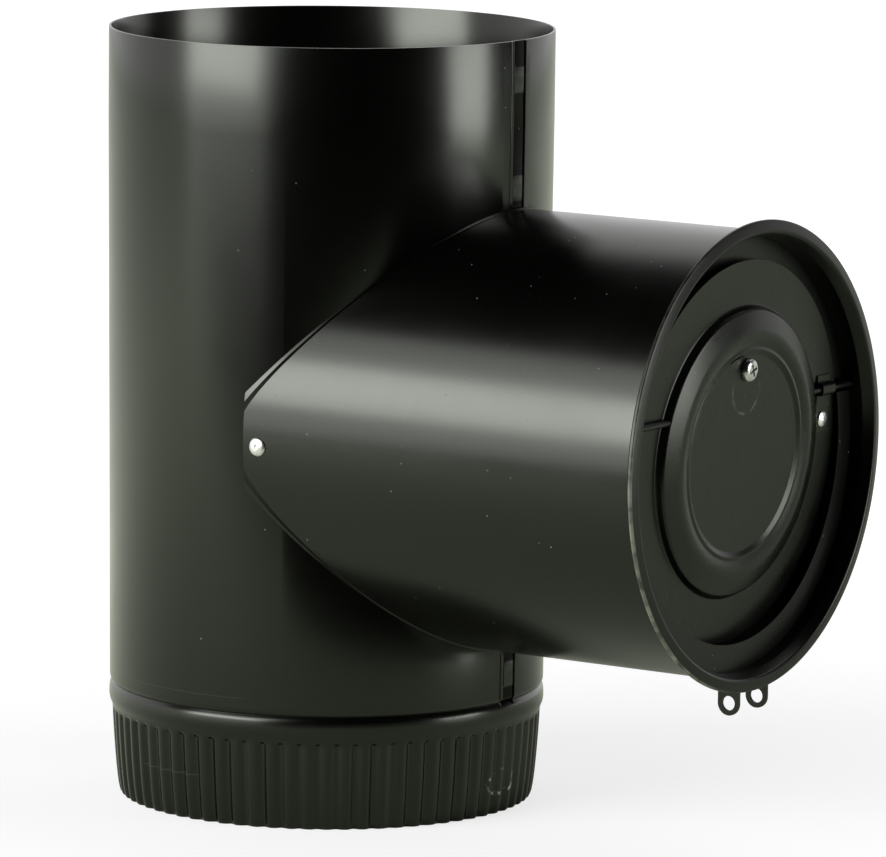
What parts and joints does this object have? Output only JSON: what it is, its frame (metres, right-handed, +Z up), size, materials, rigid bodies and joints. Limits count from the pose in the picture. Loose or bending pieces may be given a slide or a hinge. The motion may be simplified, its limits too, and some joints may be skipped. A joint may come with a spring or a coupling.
{
  "type": "stove pipe tee with draft regulator",
  "caption": "Black steel stove pipe tee. Its run has a crimped lower end, and its side branch holds a swinging barometric draft gate.",
  "frame": {"origin": "on the run's axis, at the level of the crimped lower end that it stands on", "axes": "+Z up along the run, +X out of the branch's mouth, Y along the gate's axle"},
  "size_m": [0.2518, 0.1588, 0.267],
  "materials": {
    "black_paint": "satin black stove paint",
    "gate_paint": "dull black paint",
    "zinc": "bright zinc plate",
    "rivet_metal": "bright"
  },
  "bodies": {
    "tee": {"run_pipe": "black_paint", "branch_collar": "black_paint", "saddle_rivets": "rivet_metal", "clamp_ring": "black_paint", "clamp_ears": "black_paint", "regulator_sleeve": "black_paint", "stop_rings": "black_paint"},
    "gate": {"gate": "gate_paint", "gate_axle": "gate_paint", "axle_clip": "gate_paint", "clip_rivet": "rivet_metal", "adjusting_screw": "zinc", "weight_washer": "zinc", "weight_nut": "zinc"},
    "weight": {"balance_weight": "zinc"}
  },
  "joints": [
    {"name": "gate_swing", "type": "hinge", "parent": "tee", "child": "gate", "pos_m": [0.16697, 0, 0.15], "axis": [0, 1, 0], "range_deg": [-2.4, 70]},
    {"name": "weight_turn", "type": "hinge", "parent": "gate", "child": "weight", "pos_m": [0.16987, -0.0008, 0.16286], "axis": [0.9984, 0, -0.0558], "range_deg": [-110, 110]}
  ]
}
